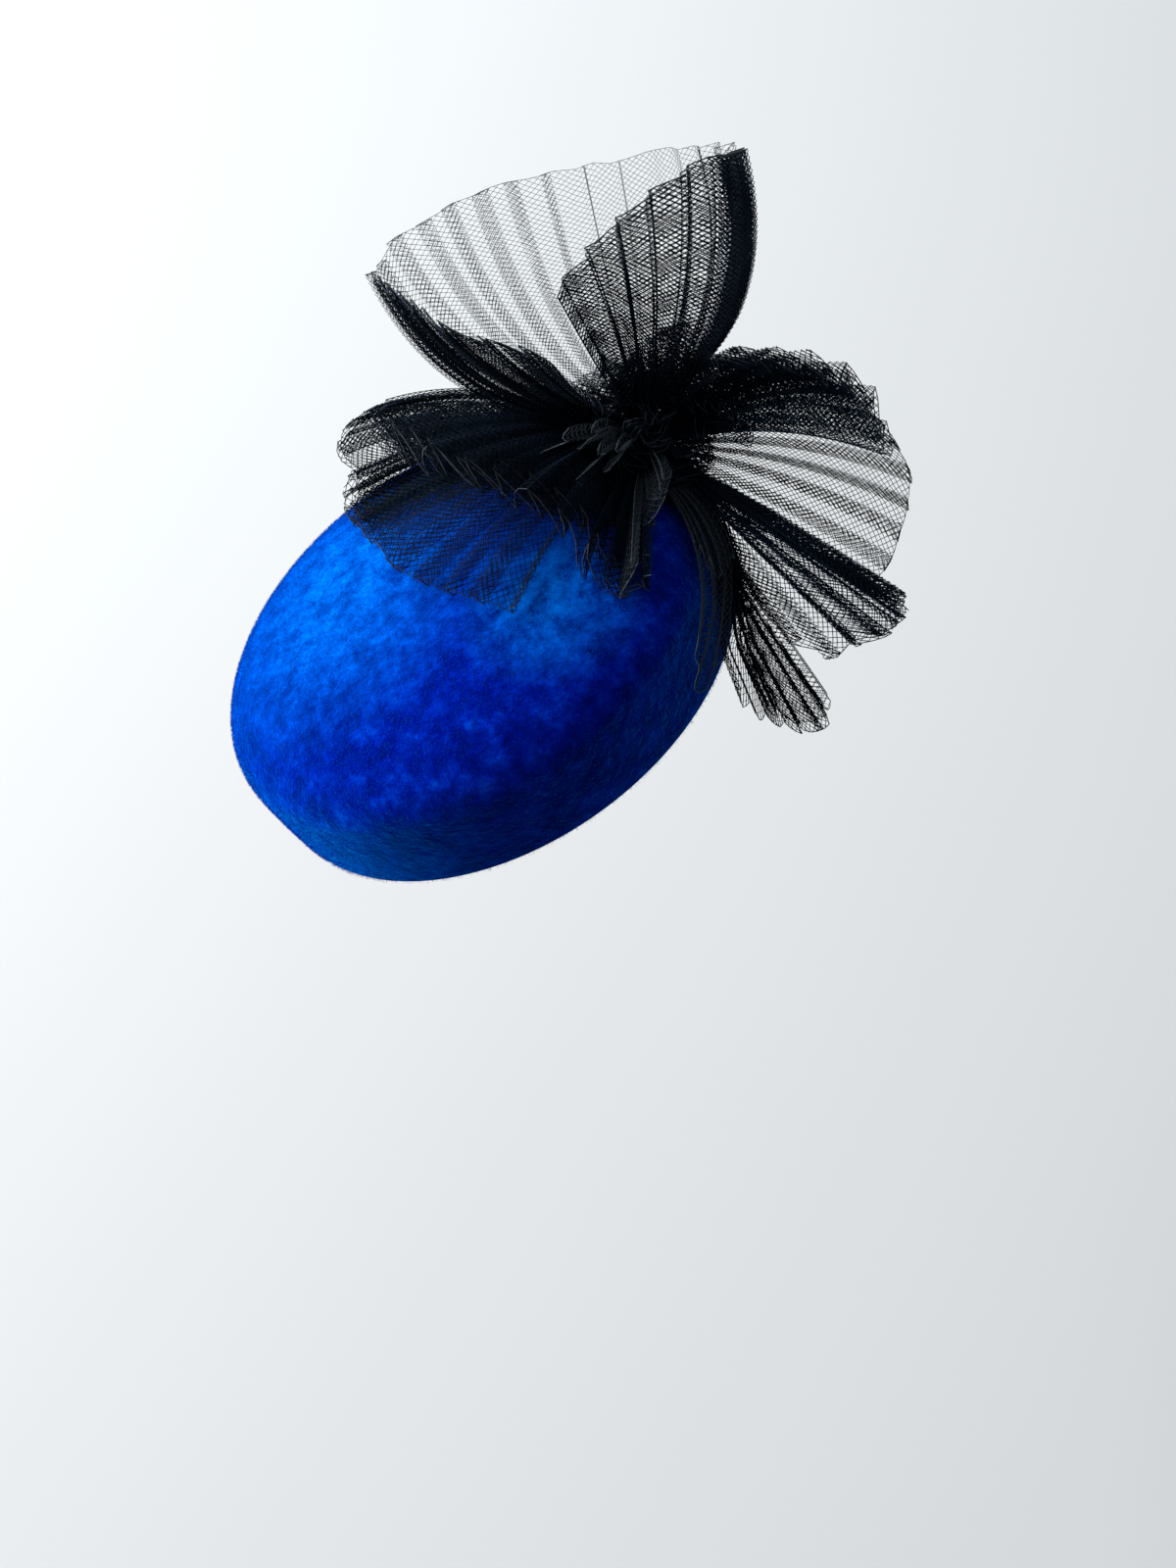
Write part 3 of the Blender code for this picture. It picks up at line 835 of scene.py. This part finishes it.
def net_strands(fan, slope):
    """Nodes and links of one family of strands, which run across the cloth at that slope."""
    widths = np.diff(fan.cloth)
    place = np.concatenate([
        number + np.arange(max(2, round(width / NODE_GAP))) / max(2, round(width / NODE_GAP))
        for number, width in enumerate(widths)
    ] + [[fan.folds]])
    across = fan.at_folds(place, fan.cloth)
    length = fan.length(place)
    lowest = min(0.0, -slope * across[-1])
    highest = length.max() + max(0.0, -slope * across[-1])
    gap = 2.0 * CELL * math.sin(math.atan(abs(slope)))
    starts = np.arange(lowest, highest, gap)
    starts = starts + gap * START_JITTER * fan.random.uniform(-1.0, 1.0, len(starts))
    height = starts[:, None] + slope * across[None, :]
    places = np.broadcast_to(place, height.shape)
    room = np.minimum(height, length[None, :] - height)
    inside = room >= 0.0
    index = np.cumsum(inside.ravel()).reshape(inside.shape) - 1
    node_place, node_height = [places[inside]], [height[inside]]
    both = inside[:, :-1] & inside[:, 1:]
    links = [np.stack([index[:, :-1][both], index[:, 1:][both]], axis=1)]
    total = inside.sum()
    for leaving in (True, False):
        one, other = (inside[:, :-1], inside[:, 1:]) if leaving else (inside[:, 1:], inside[:, :-1])
        cut = one & ~other
        here = (slice(None), slice(None, -1)) if leaving else (slice(None), slice(1, None))
        there = (slice(None), slice(1, None)) if leaving else (slice(None), slice(None, -1))
        share = room[here][cut] / (room[here][cut] - room[there][cut])
        node_place.append(places[here][cut] * (1 - share) + places[there][cut] * share)
        node_height.append(height[here][cut] * (1 - share) + height[there][cut] * share)
        added = total + np.arange(cut.sum())
        total += cut.sum()
        links.append(np.stack([index[here][cut], added], axis=1))
    return np.concatenate(node_place), np.concatenate(node_height), np.concatenate(links)


def chain(count, start=0):
    return np.stack([np.arange(count - 1), np.arange(1, count)], axis=1) + start


def build_net(name, fan, material):
    """A fan's net as two families of strands and the cords along its edges."""
    points, faces, offset = [], [], 0
    lifted = STRAND_LIFT_SHARE * STRAND
    for slope, lift in ((fan.slope, lifted), (-fan.slope, -lifted)):
        place, height, links = net_strands(fan, slope)
        way = np.tile(np.array([1.0, slope]) / math.hypot(1.0, slope), (len(place), 1))
        points.append(tube_rings(fan, place, height, way, 0.5 * STRAND, lift))
        faces.append(tube_faces(links, offset))
        offset += len(points[-1])
    inside = offset
    edge = np.linspace(0.0, fan.folds, fan.folds * EDGE_STEPS + 1)
    sides = np.linspace(0.0, 1.0, SIDE_STEPS)
    for place, height, way in (
        (edge, fan.length(edge), (1.0, 0.0)),
        (np.zeros_like(sides), sides * fan.length(np.zeros(1)), (0.0, 1.0)),
        (np.full_like(sides, fan.folds), sides * fan.length(np.full(1, fan.folds)), (0.0, 1.0)),
    ):
        ways = np.tile(way, (len(place), 1))
        points.append(tube_rings(fan, place, height, ways, 0.5 * EDGE_CORD, 0.0))
        faces.append(tube_faces(chain(len(place)), offset))
        offset += len(points[-1])
    mesh = new_mesh(name, np.concatenate(points), np.concatenate(faces))
    # Painted highlight: how much paler each strand is drawn, most along the free edge
    painted_highlight = mesh.attributes.new("painted_highlight", "FLOAT", "POINT")
    values = np.full(offset, fan.highlight_grey, np.float32)
    values[inside:inside + TUBE_SIDES * len(edge)] = fan.edge_highlight_grey
    painted_highlight.data.foreach_set("value", values)
    piece = new_piece(name, mesh, material)
    area, long = fan.area(), float(fan.length(edge).max())
    flat = (max(float(fan.cloth[-1]), area / long), long)
    area = float(np.clip(area, 0.3 * flat[0] * flat[1], flat[0] * flat[1]))
    return piece


def flap_ribs(turn, rise, half_angle):
    ribs = []
    for row in FLAP_RIBS:
        rib = dict(zip(FLAP_RIB, row))
        across = rib["side"] * half_angle
        widened = turn + across / math.cos(math.radians(rise))
        ribs.append((widened, rise + across, rib["reach"], rib["arch"]))
    return ribs


def ring_ribs(turn, rise, half_angle):
    """Ribs all round a way out of the knot, at that angle to it."""
    axis = direction(turn, rise)
    level = direction(turn + 90.0, 0.0)
    upright = np.cross(axis, level)
    opened = math.radians(half_angle)
    ribs = []
    for step in range(RUFFLE_STEPS + 1):
        around = 2.0 * math.pi * step / RUFFLE_STEPS
        way = axis * math.cos(opened)
        way = way + (level * math.cos(around) + upright * math.sin(around)) * math.sin(opened)
        ribs.append((
            math.degrees(math.atan2(way[1], way[0])),
            math.degrees(math.asin(way[2])),
            1.0 - RUFFLE_UNEVEN * (step % 2),
            0.0,
        ))
    return ribs


def even_folding(depth, lean):
    return ((0.0, depth, lean, 1.0), (1.0, depth, lean, 1.0))


def build_bow(material):
    seed = SEED
    rows = {}
    for row in FANS:
        fan = dict(zip(FAN, row))
        name = fan.pop("name")
        rows[name] = fan
        seed += 1
        piece = build_net(f"{name}_net", Fan(**fan, folding=FOLDINGS[name], seed=seed), material)
        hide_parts(name)
    for number, row in enumerate(FLAPS, start=1):
        ribs = flap_ribs(**dict(zip(FLAP, row)))
        seed += 1
        fan = Fan(ribs, FLAP_REACH, FLAP_PLEATS, "up", FLAP_CLEARANCE_SHARE, FOLDINGS["flap"], seed,
                  highlight_grey=FLAP_HIGHLIGHT_GREY, edge_highlight_grey=FLAP_EDGE_HIGHLIGHT_GREY)
        piece = build_net(f"centre_flap_{number}_net", fan, material)
        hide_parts(f"centre_flap_{number}")
    rows["lower_back"] = dict(rows["lower_leaf"], ribs=LOWER_BACK_RIBS)
    for number, row in enumerate(GATHERS, start=1):
        gather = dict(zip(GATHER, row))
        fan = dict(rows[gather.pop("fan")])
        fan["reach"] = fan["reach"] * gather.pop("reach")
        fan["folding"] = even_folding(gather.pop("depth"), gather.pop("lean"))
        fan.update(gather)
        seed += 1
        build_net(f"gather_{number}_net", Fan(**fan, seed=seed), material)
    for number, row in enumerate(RUFFLES, start=1):
        ruffle = dict(zip(RUFFLE, row))
        reach, pleats = ruffle.pop("reach"), ruffle.pop("pleats")
        seed += 1
        fan = Fan(ring_ribs(**ruffle), reach, pleats, "out",
                  FLAP_CLEARANCE_SHARE, even_folding(RUFFLE_DEPTH, RUFFLE_LEAN), seed)
        build_net(f"knot_ruffle_{number}_net", fan, material)
    for number, row in enumerate(STRIPS, start=1):
        strip = dict(zip(STRIP, row))
        reach = strip.pop("reach")
        seed += 1
        fan = Fan(flap_ribs(**strip), reach, STRIP_PLEATS, "up", 1.0, STRIP_FOLDING, seed,
                  highlight_grey=FLAP_HIGHLIGHT_GREY, edge_highlight_grey=FLAP_EDGE_HIGHLIGHT_GREY)
        build_net(f"centre_strip_{number}_net", fan, material)


def build_knot(material, steps=72, rings=32):
    """The gathered middle of the bow: a ball of net drawn into flutes."""
    around, down = np.meshgrid(
        np.arange(steps) * 2.0 * math.pi / steps, np.linspace(0.0, math.pi, rings), indexing="ij"
    )
    flutes = 0.5 - 0.5 * np.cos(FLUTES * around + FLUTE_TWIST * np.cos(down))
    dent = FLUTE_DEPTH * np.sin(down) * flutes
    radius = KNOT_RADIUS * (1.0 - dent)
    points = np.stack([
        radius * np.sin(down) * np.cos(around),
        radius * np.sin(down) * np.sin(around),
        radius * np.cos(down),
    ], axis=2)
    rows = np.arange(steps)[:, None]
    columns = np.arange(rings - 1)[None, :]
    here, there = rows * rings + columns, (rows + 1) % steps * rings + columns
    faces = np.stack([here, here + 1, there + 1, there], axis=2).reshape(-1, 4)
    mesh = new_mesh("knot_net", points.reshape(-1, 3) + knot_centre(), faces)
    piece = new_piece("knot_net", mesh, material)
    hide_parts("trim_knot")


# Camera, light and floor


def camera_axes():
    """Right, up and back of the camera, tilted with the hat as it is worn."""
    elevation, roll = math.radians(CAMERA_ELEVATION), math.radians(CAMERA_ROLL)
    back = np.array([0.0, -math.cos(elevation), math.sin(elevation)])
    level = np.array([1.0, 0.0, 0.0])
    upright = np.cross(back, level)
    right = level * math.cos(roll) - upright * math.sin(roll)
    up = level * math.sin(roll) + upright * math.cos(roll)
    return right, up, back


def build_camera():
    right, up, back = camera_axes()
    pixels = 0.5 * PHOTO_HEIGHT / math.tan(math.radians(0.5 * VIEW_ANGLE))
    aside = (RIM_CENTRE_X - 0.5 * PHOTO_WIDTH) / pixels * CAMERA_DISTANCE
    above = (0.5 * PHOTO_HEIGHT - RIM_CENTRE_Y) / pixels * CAMERA_DISTANCE
    place = back * CAMERA_DISTANCE - right * aside - up * above
    data = bpy.data.cameras.new("camera")
    data.sensor_width = SENSOR
    data.lens = 0.5 * SENSOR / math.tan(math.radians(0.5 * VIEW_ANGLE))
    data.clip_start = 0.01
    camera = bpy.data.objects.new("camera", data)
    matrix = Matrix.Identity(4)
    for column, axis in enumerate((right, up, back, place)):
        for row in range(3):
            matrix[row][column] = axis[row]
    camera.matrix_world = matrix
    bpy.context.scene.collection.objects.link(camera)
    bpy.context.scene.camera = camera


def build_light(name, way, distance, size, power, colour):
    """A soft round panel that faces the hat."""
    right, up, back = camera_axes()
    toward = right * way[0] + up * way[1] + back * way[2]
    toward /= np.linalg.norm(toward)
    data = bpy.data.lights.new(name, "AREA")
    data.shape = "DISK"
    data.size = size
    data.energy = power
    data.color = colour
    light = bpy.data.objects.new(name, data)
    side = np.cross(up, toward)
    side /= np.linalg.norm(side)
    matrix = Matrix.Identity(4)
    for column, axis in enumerate((side, np.cross(toward, side), toward, toward * distance)):
        for row in range(3):
            matrix[row][column] = axis[row]
    light.matrix_world = matrix
    bpy.context.scene.collection.objects.link(light)


def build_studio():
    world = bpy.data.worlds.new("studio")
    world.use_nodes = True
    world.node_tree.nodes["Background"].inputs["Color"].default_value = WORLD_COLOUR
    world.node_tree.nodes["Background"].inputs["Strength"].default_value = WORLD_STRENGTH
    bpy.context.scene.world = world
    for row in LIGHTS:
        build_light(**dict(zip(LIGHT, row)))
    low = frame_box[0][2] - FLOOR_DROP
    half = 0.5 * FLOOR_SIZE
    points = np.array([[-half, -half, low], [half, -half, low], [half, half, low], [-half, half, low]])
    mesh = new_mesh("floor", points, np.array([[0, 1, 2, 3]]))
    floor = bpy.data.objects.new("floor", mesh)
    bpy.context.scene.collection.objects.link(floor)
    mesh.materials.append(plain_material("floor_paint", FLOOR_COLOUR, 0.9))


bpy.context.scene.view_settings.view_transform = "Standard"
build_camera()
velvet = velvet_material()
net = net_material()
build_crown(velvet)
build_pile(pile_material())
build_knot(net)
build_bow(net)
build_studio()
